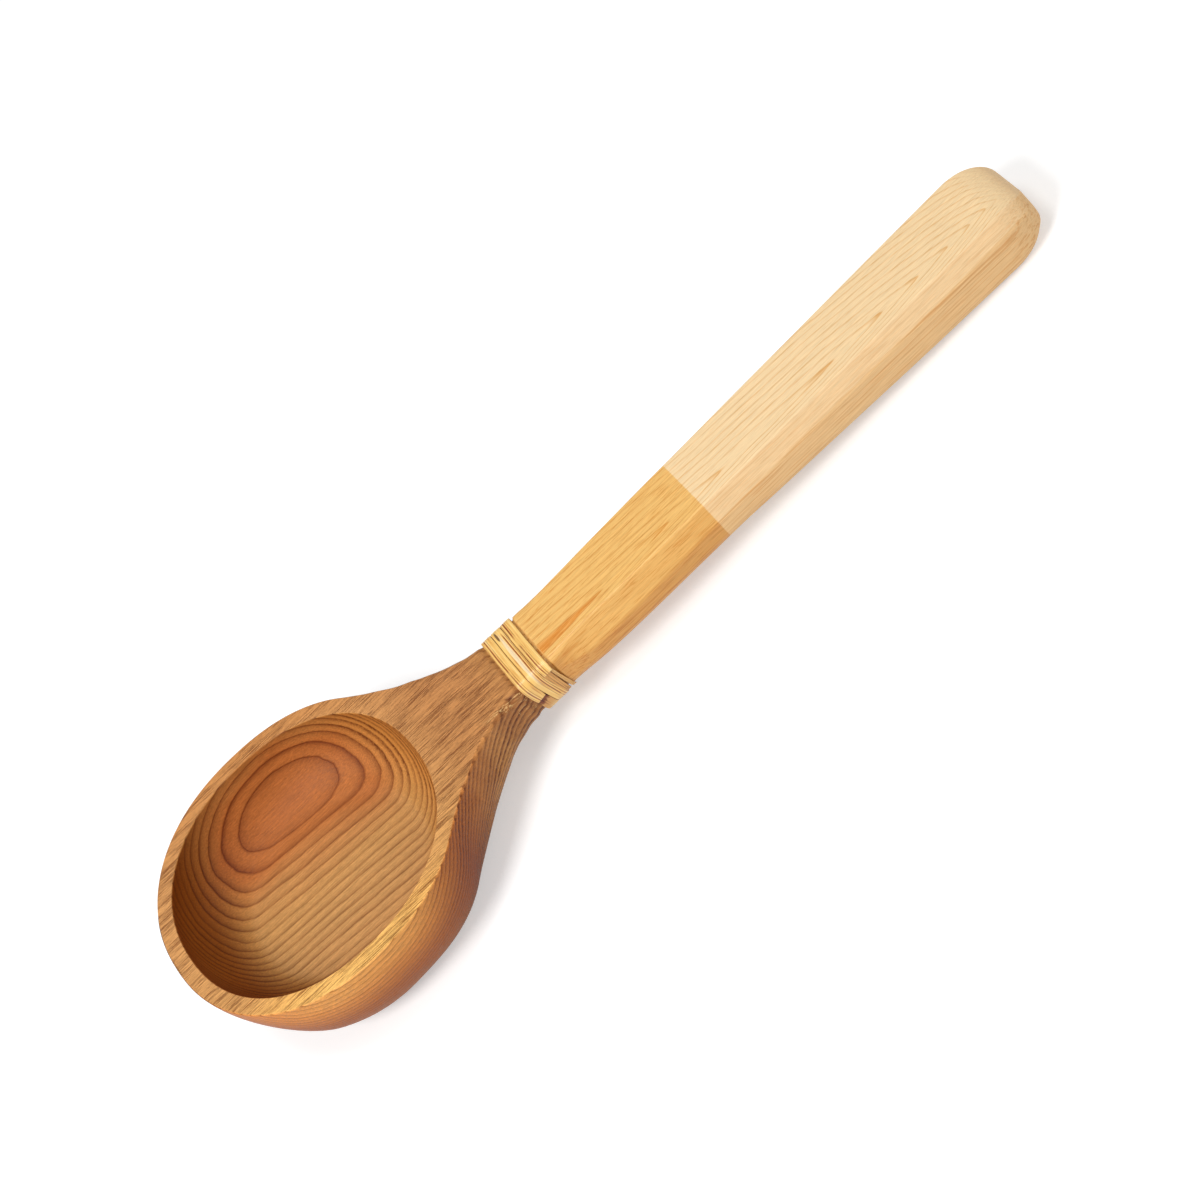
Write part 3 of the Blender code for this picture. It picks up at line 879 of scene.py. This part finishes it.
caneLook = {
    # the skin's colour over its lengthwise stripes
    "skin": (
        (0.30, (172, 96, 42)), (0.38, (214, 144, 68)), (0.45, (242, 190, 104)),
        (0.58, (253, 210, 125)), (0.72, (255, 236, 184)),
    ),
    # painted shade at the strand's edges, between the bands
    "edge": (0.64, 0.42, 0.28),
    "inside": (228, 169, 94),
    "insideLine": (140, 84, 42),
    "dull": (213, 157, 92),
    # painted shade where the strand comes out from under the first band's tucked end
    "shadeUnderTuck": (0.58, 0.38, 0.26),
    "groove": (0.62, 0.36, 0.25),
    # each groove's place and width, in half widths of the strand, and its strength
    "grooves": ((0.0, 0.15, 1.0), (0.36, 0.08, 0.7), (-0.42, 0.08, 0.6)),
    # patterns: size in mm along the strand and across it, then the detail and the roughness
    "stripes": ((24, 0.95, 1), 3.0, 0.6),
    "fineStripes": ((14, 0.3, 1), 2.0, 0.6),
    "breaks": ((12, 30, 1), 2.0),
    # a pale painted highlight on the second band's top and a dark mark beside it: the middle and the size
    # in mm along the strand and in half widths across it, where each fades, and its strength
    "patches": (
        {"colour": (255, 238, 206), "middle": (144.0, -0.05), "size": (17.0, 0.42), "fade": (0.3, 1.0),
         "strength": 0.6},
        {"colour": (88, 48, 24), "middle": (130.0, -0.4), "size": (2.8, 0.22), "fade": (0.5, 1.2),
         "strength": 0.85},
    ),
    "roughness": (0.33, 0.6),
    "gloss": 0.6,
    "relief": 0.00012,
}


def makeCane():
    # the strand's own values: tone is 0 on its skin, 1 on its pale inside and -1 where it is dull
    look = caneLook
    material, tree, shader = newMaterial("cane")
    along, across, swing, tone = (
        addNode(tree, "Attribute", attribute_name=name).outputs["Fac"]
        for name in ("along", "across", "swing", "tone")
    )
    halfWidth = cane["width"] / 2 / millimetre
    spot = addNode(tree, "CombineXYZ", {0: along, 1: times(across, halfWidth)}).outputs[0]
    stripes = addNoise(spot, *look["stripes"])
    fine = addNoise(spot, *look["fineStripes"])
    stripes = addMath("ADD", times(stripes, 0.75), times(fine, 0.25))
    lines = addRange(fine, 0.47, 0.60, 0.0, 0.9)
    inside = addMix(lines, paint(*look["inside"]), paint(*look["insideLine"]))
    colour = addMix(addRange(tone, 0.1, 0.9), addSteps(stripes, look["skin"]), inside)
    colour = addMix(addRange(tone, -0.1, -0.9), colour, paint(*look["dull"]))
    # painted shade on the strand's dull start, which comes out from under the first band's tucked end
    shadeUnderTuck = addRange(addMath("MULTIPLY_ADD", fine, -0.35, tone), -1.08, -1.15)
    colour = tinted(colour, shadeUnderTuck, look["shadeUnderTuck"])
    # painted shade darkens the strand's edges, where the bands meet
    rim = addRange(addMath("ABSOLUTE", across), 0.92, 0.995)
    colour = tinted(colour, rim, look["edge"])
    breaks = addRange(addNoise(spot, *look["breaks"]), 0.36, 0.5)
    for shift, size, most in look["grooves"]:
        away = addMath("SUBTRACT", addMath("SUBTRACT", across, swing), shift)
        groove = addRange(addMath("ABSOLUTE", away), size, size * 0.3, 0.0, most)
        groove = times(groove, breaks, addRange(tone, 0.8, 0.2))
        colour = tinted(colour, groove, look["groove"])
    # the painted highlight on the second band, then the dark mark beside it
    for patch in look["patches"]:
        offsets = []
        for value, middle, size in zip((along, across), patch["middle"], patch["size"]):
            offset = addMath("DIVIDE", addMath("SUBTRACT", value, middle), size)
            offsets.append(times(offset, offset))
        share = addRange(addMath("ADD", *offsets), *patch["fade"], patch["strength"], 0.0)
        colour = addMix(share, colour, paint(*patch["colour"]))
    roughness = addRange(addMath("ABSOLUTE", tone), 0.2, 0.9, *look["roughness"])
    addFinish(shader, colour, roughness, look["gloss"], stripes, look["relief"])
    return material


dowelLook = {
    "body": (214, 178, 128),
    "pore": (168, 124, 78),
    "pores": ((12, 0.5, 0.5), 3.0, 0.6),
    "roughness": 0.6,
    "gloss": 0.5,
    "relief": 0.0001,
}


def makeDowelWood():
    look = dowelLook
    material, tree, shader = newMaterial("dowel_wood")
    pores = addNoise(ownPlace(tree), *look["pores"])
    colour = addMix(addRange(pores, 0.5, 0.7), paint(*look["body"]), paint(*look["pore"]))
    addFinish(shader, colour, look["roughness"], look["gloss"], pores, look["relief"])
    return material


# One strand of split cane, which starts under the ladle and winds up its far side
cane = {
    "width": 0.00452,
    "thickness": 0.0012,
    "squareness": 0.38,
    "turns": 3,
    "step": 0.00456,  # from turn to turn
    "stepLate": 0.64,  # how much of a turn goes by before the strand moves on to the next
    "shift": -0.0003,  # of the whole winding, towards the tip
    "sway": 0.0002,
    # how far the strand wanders and how much its width varies, each with how quickly
    "wander": (0.00012, 9),
    "unevenness": (0.035, 11),
    "loopSteps": 170,
    "cornerSteps": 16,
    "facets": 40,
    "grooveDepth": 0.00022,
    "grooveWidth": 0.16,
    "grooveSwing": -0.46,  # how far the groove swings across the strand, in half widths
    "ribDepth": 0.00001,
    "ribs": 19.0,
    "endRun": 0.03,  # in turns, how quickly an end reaches the full strand
    "endWidth": 0.9,
    "toneRun": 0.12,  # in turns, how quickly the tone changes
    # The strand's stretches, counted in turns, with the values at each one's two ends. The first
    # band's end is tucked in on the near side, and the last band splits there into its pale inside
    # and a thin strip.
    "strands": (
        {"from": 0.0, "to": 0.755, "width": (1.0, 0.99), "aside": (0, 0), "lift": (0, 0.00035),
         "tone": (0, 0)},
        {"from": 0.76, "to": 2.68, "width": (0.99, 0.99), "aside": (0, 0), "lift": (-0.0002, 0.0002),
         "tone": (-1, 0)},
        {"from": 2.658, "to": 2.835, "width": (0.74, 0.70), "aside": (-0.0007, -0.0019),
         "lift": (-0.0002, -0.0001), "tone": (1, 1)},
        {"from": 2.63, "to": 2.84, "width": (0.22, 0.34), "aside": (0.0016, 0.0011),
         "lift": (0.0001, 0.0001), "tone": (0.4, 0.6)},
    ),
}


def caneLoop():
    # one turn round the drawn-in wood at the strand's middle, in even steps, and its length
    flat, wide, drop, depth, *rounds = ladle["jointShape"]
    dip = ladle["jointDip"]
    half = filletedSection(0, dip, (flat, wide, drop, dip + depth, *rounds), cane["cornerSteps"])
    around = list(reversed(half)) + [Vector((0, -point.y, point.z)) for point in half[1:]]
    lift = ladle["clearance"] + cane["thickness"] / 2 - ladle["drawnIn"]
    corners = []
    for before, spot, after in zip([around[-2]] + around, around, around[1:] + [around[1]]):
        along = (after - before).normalized()
        corners.append(spot + Vector((0, along.z, -along.y)) * lift)
    gone = [0.0]
    for corner, following in zip(corners, corners[1:]):
        gone.append(gone[-1] + (following - corner).length)
    loop = []
    k = 0
    for i in range(cane["loopSteps"]):
        wanted = gone[-1] * i / cane["loopSteps"]
        while gone[k + 1] < wanted:
            k += 1
        loop.append(corners[k].lerp(corners[k + 1], (wanted - gone[k]) / (gone[k + 1] - gone[k])))
    return loop, gone[-1]


def strandRoute():
    # a mesh of bare edges: one chain of points for each stretch of cane
    loop, loopLength = caneLoop()
    count = len(loop)
    firstBand = ladle["jointReach"] - (cane["turns"] - 1) / 2 * cane["step"] + cane["shift"]
    wander, wanderRate = cane["wander"]
    unevenness, widthRate = cane["unevenness"]
    spots, edges = [], []
    told = {name: [] for name in ("outward", "along", "swing", "widthShare", "tone")}
    for strand in cane["strands"]:
        first = round(strand["from"] * count)
        last = round(strand["to"] * count)
        for i in range(first, last + 1):
            turn = i / count
            part = turn % 1
            run = (i - first) / (last - first)
            begun = turn - strand["from"]
            arriving = eased(begun / cane["endRun"])
            leaving = eased((strand["to"] - turn) / cane["endRun"])
            bands = math.floor(turn) + eased((part - cane["stepLate"]) / (1 - cane["stepLate"]))
            x = firstBand + bands * cane["step"] + blend(*strand["aside"], run)
            x += wander * noise.noise(Vector((part * wanderRate, 0.5, 0)))
            if abs(part - 0.5) < 0.25:  # on the upper half
                x -= cane["sway"] * math.sin(4 * math.pi * (part - 0.5))
            along = loop[(i + 2) % count] - loop[(i - 2) % count]
            outward = Vector((0, along.z, -along.y)).normalized()
            lift = strand["lift"][0] * (1 - arriving) + strand["lift"][1] * (1 - leaving)
            if first < i:
                edges.append((len(spots) - 1, len(spots)))
            spots.append(ladleAxes @ (loop[i % count] + Vector((x, 0, 0)) + outward * lift))
            width = blend(*strand["width"], run) * blend(cane["endWidth"], 1.0, min(arriving, leaving))
            width *= 1 + unevenness * noise.noise(Vector((part * widthRate, 3.5, 0)))
            told["outward"] += list(ladleAxes.to_3x3() @ outward)
            told["along"].append(turn * loopLength / millimetre)
            told["swing"].append(cane["grooveSwing"] * math.cos(math.pi * (turn - 0.5)))
            told["widthShare"].append(width)
            told["tone"].append(easedBlend(*strand["tone"], begun / cane["toneRun"]))
    route = bpy.data.meshes.new("route")
    route.from_pydata(spots, edges, [])
    for name, values in told.items():
        kind, field = ("FLOAT_VECTOR", "vector") if name == "outward" else ("FLOAT", "value")
        route.attributes.new(name, kind, "POINT").data.foreach_set(field, values)
    return route


def addGeometry(tree, kind, inputs=None, **settings):
    return addNode(tree, kind, inputs, family="GeometryNode", **settings).outputs[0]


def readNamed(tree, name, kind="FLOAT"):
    return addGeometry(tree, "InputNamedAttribute", {"Name": name}, data_type=kind)


def makeWindingTree(inputs):
    tree = bpy.data.node_groups.new("caneWinding", "GeometryNodeTree")
    tree.interface.new_socket("Route", in_out="INPUT", socket_type="NodeSocketGeometry")
    for name, setting in inputs.items():
        tree.interface.new_socket(name, in_out="INPUT", socket_type="NodeSocket" + setting[0])
    tree.interface.new_socket("Winding", in_out="OUTPUT", socket_type="NodeSocketGeometry")
    given = tree.nodes.new("NodeGroupInput").outputs

    outward = readNamed(tree, "outward", "FLOAT_VECTOR")
    curve = addGeometry(tree, "MeshToCurve", {"Mesh": given["Route"]})
    told = {"Curve": curve, "Normal": outward}
    curve = addGeometry(tree, "SetCurveNormal", told, mode="FREE")

    # the section: a circle drawn out to a squared oval, which keeps its place across the strand
    told = {"Resolution": given["Facets"], "Radius": 1.0}
    circle = addGeometry(tree, "CurvePrimitiveCircle", told)
    squared = []
    for part in split(addGeometry(tree, "InputPosition"))[:2]:
        size = addMath("POWER", addMath("ABSOLUTE", part), given["Squareness"])
        squared.append(times(size, addMath("SIGN", part)))
    raised = times(squared[0], given["Thickness"], 0.5)
    widened = times(squared[1], given["Width"], 0.5)
    section = addNode(tree, "CombineXYZ", {0: raised, 1: widened}).outputs[0]
    told = {"Geometry": circle, "Name": "across", "Value": times(squared[1], -1.0)}
    circle = addGeometry(tree, "StoreNamedAttribute", told, data_type="FLOAT", domain="POINT")
    profile = addGeometry(tree, "SetPosition", {"Geometry": circle, "Position": section})

    # the sweep, with the groove and the fine ribs sunk into the side that faces outwards
    scale = readNamed(tree, "widthShare")
    told = {"Curve": curve, "Profile Curve": profile, "Scale": scale, "Fill Caps": True}
    strand = addGeometry(tree, "CurveToMesh", told)
    across = readNamed(tree, "across")
    normal = addGeometry(tree, "InputNormal")
    told = {0: normal, 1: outward}
    outside = addNode(tree, "VectorMath", told, operation="DOT_PRODUCT").outputs["Value"]
    onSkin = addRange(outside, 0.3, 0.8)
    away = addMath("ABSOLUTE", addMath("SUBTRACT", across, readNamed(tree, "swing")))
    groove = addRange(away, 0.0, given["Groove Width"], 1.0, 0.0)
    rib = addMath("SINE", times(across, given["Ribs"]))
    sunk = times(groove, given["Groove Depth"])
    sunk = addMath("SUBTRACT", sunk, times(rib, given["Rib Depth"]))
    sunk = times(sunk, onSkin, -1.0)
    moved = addNode(tree, "VectorMath", {0: normal, "Scale": sunk}, operation="SCALE").outputs[0]
    strand = addGeometry(tree, "SetPosition", {"Geometry": strand, "Offset": moved})
    strand = addGeometry(tree, "SetShadeSmooth", {"Geometry": strand})
    strand = addGeometry(tree, "RealizeInstances", {"Geometry": strand})
    told = {"Geometry": strand, "Material": given["Material"]}
    strand = addGeometry(tree, "SetMaterial", told)
    tree.links.new(strand, tree.nodes.new("NodeGroupOutput").inputs[0])
    return tree


def makeWinding(material):
    inputs = {
        "Width": ("Float", cane["width"]),
        "Thickness": ("Float", cane["thickness"]),
        "Squareness": ("Float", cane["squareness"]),
        "Facets": ("Int", cane["facets"]),
        "Groove Depth": ("Float", cane["grooveDepth"]),
        "Groove Width": ("Float", cane["grooveWidth"]),
        "Rib Depth": ("Float", cane["ribDepth"]),
        "Ribs": ("Float", cane["ribs"]),
        "Material": ("Material", material),
    }
    rough = place("route", strandRoute())
    winding = rough.modifiers.new("winding", "NODES")
    winding.node_group = makeWindingTree(inputs)
    for socket in winding.node_group.interface.items_tree:
        if socket.name in inputs:
            winding[socket.identifier] = inputs[socket.name][1]
    piece = place("cane_winding", plainMesh(rough, "cane_winding"))
    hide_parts("cane_binding")
    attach(piece, "root")
    print("cane winding done,", len(piece.data.polygons), "faces")


def dress(nodeName, material):
    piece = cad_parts[nodeName]
    piece.data.materials.clear()
    piece.data.materials.append(material)


makeBowlHead(makeCedar())
makeHandle(makeSoftwood())
makeWinding(makeCane())
dress("joint_dowel", makeDowelWood())
print("dowel done")

# Seen from above the near side, with the handle running up to the right at 45 degrees
cameraPlace = {
    "down": math.radians(45.5),
    "turn": math.radians(-1.5),
    "roll": math.radians(0.3),
    "tilt": math.radians(45),
    "distance": 1.225,  # along the view from the bowl's centre
    "aside": 0.1363,
    "above": -0.0113,
    "lens": 105,
    "sensor": 36,
}


def makeCamera():
    own = cameraPlace
    ahead = Vector((
        math.sin(own["turn"]) * math.cos(own["down"]),
        math.cos(own["turn"]) * math.cos(own["down"]),
        -math.sin(own["down"]),
    ))
    right = Vector((math.cos(own["turn"]), -math.sin(own["turn"]), 0))
    level = Matrix((right, right.cross(ahead), -ahead)).transposed()
    level = level @ Matrix.Rotation(own["roll"], 3, "Z")
    eye = level @ Vector((own["aside"], own["above"], own["distance"]))
    turned = level @ Matrix.Rotation(-own["tilt"], 3, "Z")
    data = bpy.data.cameras.new("view")
    data.lens = own["lens"]
    data.sensor_width = own["sensor"]
    camera = bpy.data.objects.new("view", data)
    camera.matrix_world = ladleAxes @ Matrix.Translation(eye) @ turned.to_4x4()
    bpy.context.scene.collection.objects.link(camera)
    bpy.context.scene.camera = camera


studio = {
    "aim": Vector((0.12, 0, 0.02)),
    # the way from the aim to each lamp, its size and its power
    "lamps": {
        "key": (Vector((-1.0, -0.68, 1.4)), 0.7, 20),
        "top": (Vector((-0.1, -0.05, 1.5)), 0.5, 5.5),
        "fill": (Vector((1.3, -0.7, 1.0)), 1.2, 5.5),
    },
    "sky": 0.32,
    "floorSize": 12,
    "floorColour": (226, 226, 226),
    "floorRoughness": 0.9,
    "floorGlow": 0.42,
}


def addLamp(name, away, size, power):
    data = bpy.data.lights.new(name, "AREA")
    data.shape = "DISK"
    data.size = size
    data.energy = power
    lamp = bpy.data.objects.new(name, data)
    lamp.location = studio["aim"] + away
    lamp.rotation_euler = away.to_track_quat("Z", "Y").to_euler()
    bpy.context.scene.collection.objects.link(lamp)


def addSeen(tree):
    # 1 for what the eye, gloss and glass see, 0 for the light that falls on things
    path = addNode(tree, "LightPath").outputs
    seen = addMath("MAXIMUM", path["Is Camera Ray"], path["Is Glossy Ray"])
    return addMath("MAXIMUM", seen, path["Is Transmission Ray"])


def makeFloor():
    bpy.ops.mesh.primitive_plane_add(size=studio["floorSize"])
    floor = bpy.context.object
    floor.name = "floor"
    material, tree, shader = newMaterial("floor")
    shader.inputs["Base Color"].default_value = paint(*studio["floorColour"])
    shader.inputs["Roughness"].default_value = studio["floorRoughness"]
    shader.inputs["Specular IOR Level"].default_value = 0.0
    # the lit floor reaches white where it is seen, and still darkens in the shadow
    shader.inputs["Emission Color"].default_value = (1, 1, 1, 1)
    glow = times(addSeen(tree), studio["floorGlow"])
    feed(shader.inputs["Emission Strength"], glow)
    floor.data.materials.append(material)


def makeSky():
    world = bpy.data.worlds.new("studio")
    world.use_nodes = True
    tree = world.node_tree
    seen = addNode(tree, "LightPath").outputs["Is Camera Ray"]
    ends = {"Value": seen, "To Min": studio["sky"], "To Max": 1.0}
    background = tree.nodes["Background"]
    background.inputs["Color"].default_value = (1, 1, 1, 1)
    feed(background.inputs["Strength"], addNode(tree, "MapRange", ends).outputs[0])
    bpy.context.scene.world = world


makeCamera()
makeFloor()
makeSky()
for name, lamp in studio["lamps"].items():
    addLamp(name, *lamp)
bpy.context.scene.view_settings.view_transform = "Standard"
print("camera and studio done")
